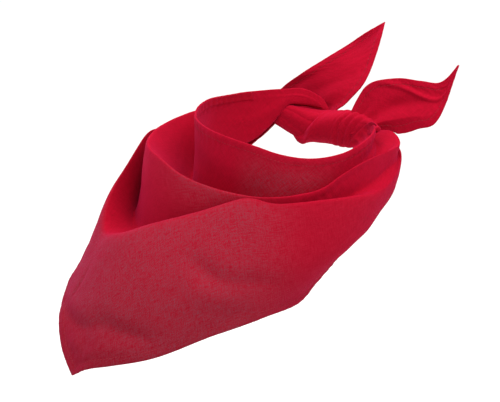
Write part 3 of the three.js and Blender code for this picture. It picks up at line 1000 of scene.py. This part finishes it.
def tailGrid(rows, t):
    # Straight across from edge to edge, then swelled by a sine towards one side.
    along = np.linspace(0, 1, t["rows"])
    edges = throughRows(rows, along) * t["length"]
    from_, to = edges[:, None, :3] + knotMiddle(t), edges[:, None, 3:] + knotMiddle(t)
    share = np.linspace(0, 1, t["columns"])[None, :, None]
    points = from_ + (to - from_) * share
    width = np.linalg.norm(to - from_, axis=-1) / t["length"]
    swell = t["belly"] * np.sin(np.pi * share[..., 0]) * width
    return points - gridNormals(points) * swell[..., None], along[:, None], share[..., 0]


def makeTail(name, rows, relief, t):
    # The plain tail, moved along its normals by its folds, a noise all over and its hems, then
    # made into a wall that is thicker at the hems.
    points, along, across = tailGrid(rows, t)
    acrossLength, alongLength = lengthsAlong(points, 1), lengthsAlong(points, 0)
    fromFirst, fromSecond = acrossLength, acrossLength[:, -1:] - acrossLength
    nearEdge = np.minimum(fromFirst, fromSecond)
    unevenness = 0.0005 * smoothNoise(alongLength / 0.02, acrossLength / 0.014, 7)
    height = relief(along, across, t) + unevenness
    height = height * np.clip(acrossLength[:, -1:] / 0.02, 0, 1)
    hem = hemRelief(nearEdge, alongLength, t["hemWidth"], t["hemPull"])
    height = height + hem * np.clip(along * 6 - 0.4, 0, 1)
    points = points + gridNormals(points) * height[..., None]
    uv = np.stack([alongLength, acrossLength], -1)
    thickness = t["thickness"] * (1 + np.clip(1.4 - nearEdge / t["hemWidth"], 0, 0.8))
    piece = clothWall(name, points, uv, thickness)
    return piece, points, fromFirst, fromSecond


def upperRelief(along, across, t):
    # Shallow creases that spread from the knot, strongest near it.
    fan = np.sin(across * 17 + along * 6 + 2 * np.sin(along * 9))
    return (t["fanHeight"] * fan * bell(along - 0.12, 0.2)
            + t["fanHeight"] / 2 * np.sin(across * 7 - along * 12))


def sideRelief(along, across, t):
    # One crisp ridge that runs slantwise from the top edge to the far corner, a soft valley
    # from the knot outwards, gathers where the tail leaves the knot, and a lower part that is
    # folded under along a crisp line.
    ridge = bell(across - (0.1 + 1.25 * (along - 0.42)), 0.065) * bell(along - 0.62, 0.24)
    valley = bell(across - 0.62 + 0.25 * along, 0.12) * bell(along - 0.34, 0.25)
    gathers = pleats(across * 9 + along * 2) * bell(along, 0.16)
    under = np.clip(across - 0.8, 0, None) / 0.2 * bell(along - 0.3, 0.32)
    return (t["ridgeHeight"] * ridge - t["valleyDepth"] * valley
            + t["gatherHeight"] * gathers - t["foldUnder"] * under)


# Making everything
floor = makeStudio(studio)
floor.data.materials.append(pale("matt_white_paint", studio["floorColour"]))
print("studio made")

cloth = wovenCotton("plain_woven_dyed_cotton", cotton)
# The hem cloth: a deeper red, and a smaller share of painted sheen.
hemLook = dict(cotton, colour="#A60A22", deepColour="#90081A", paintedSheenShare=0.25)
hemCloth = wovenCotton("turned_and_pressed_cotton_hem", hemLook)
thread = sewingThread("spun_polyester_sewing_thread", threadLook)

drapePiece, turns, places, points, fromNeck, fromHem = makeDrape(drape)
drapePiece.data.materials.append(cloth)
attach(drapePiece, "root")
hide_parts("neck_drape")
print("drape made:", len(drapePiece.data.polygons), "faces")

gathered = (turns > -104) & (turns < 136)
beforeTip = gathered & (turns <= drape["tipTurn"])
afterTip = gathered & (turns >= drape["tipTurn"])
edges = (("neck_hem", fromNeck, gathered), ("right_leg_hem", fromHem, beforeTip),
         ("left_leg_hem", fromHem, afterTip))
for name, distances, keep in edges:
    hem = hemStrip(name + "_cloth", points, turns, places, distances, keep, drape["hemWidth"],
                   drape["hemThickness"])
    hem.data.materials.append(hemCloth)
    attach(hem, "root")
    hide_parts(name)
print("hems made")

bundle = cappedTube("knot_bundle", *carriedTube(bundleRows, knot["bundleRings"], knot["sides"],
                                                (0, 0), bundleRipple))
wrap = cappedTube("knot_wrap", *carriedTube(wrapRows, knot["wrapRings"], knot["sides"],
                                            knot["wrapSlants"], wrapRipple))
curlPiece = makeCurl("knot_curl", curl)
for piece in (bundle, wrap, curlPiece):
    piece.data.materials.append(cloth)
    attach(piece, "root")
    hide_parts("knot")
print("knot made")

upperTail, upperPoints, upperFirst, upperSecond = makeTail("upper_tail_cloth", upperTailRows,
                                                          upperRelief, tails)
sideTail, sidePoints, sideFirst, sideSecond = makeTail("side_tail_cloth", sideTailRows,
                                                      sideRelief, tails)
for piece, node in ((upperTail, "upper_tail"), (sideTail, "side_tail")):
    piece.data.materials.append(cloth)
    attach(piece, "root")
    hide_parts(node)
print("tails made")

drapeNormals = gridNormals(points)
inset = hems["stitchPlace"] * drape["hemWidth"]
outer = drape["thickness"] / 2 + drape["hemThickness"] * 0.3
seams = []
for name, distances, keep in edges:
    line, side = seamLine(points, drapeNormals, distances, places, inset, outer)
    seams.append((line[keep], side[keep]))
tailPlaces = np.linspace(0, 1, tails["columns"])
for grid, first, second in ((upperPoints, upperFirst, upperSecond),
                            (sidePoints, sideFirst, sideSecond)):
    normals = gridNormals(grid)
    wide = first[:, -1] > 2.4 * tails["hemWidth"]
    for distances in (first, second):
        for offset in (tails["thickness"], -tails["thickness"]):
            line, side = seamLine(grid, normals, distances, tailPlaces,
                                  hems["stitchPlace"] * tails["hemWidth"], offset)
            seams.append((line[wide], side[wide]))
stitchPoints, stitchFaces = stitchMesh(seams, stitching)
stitches = makeObject("hem_stitches", stitchPoints, stitchFaces)
stitches.data.materials.append(thread)
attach(stitches, "root")
print("stitches made:", len(stitchPoints))
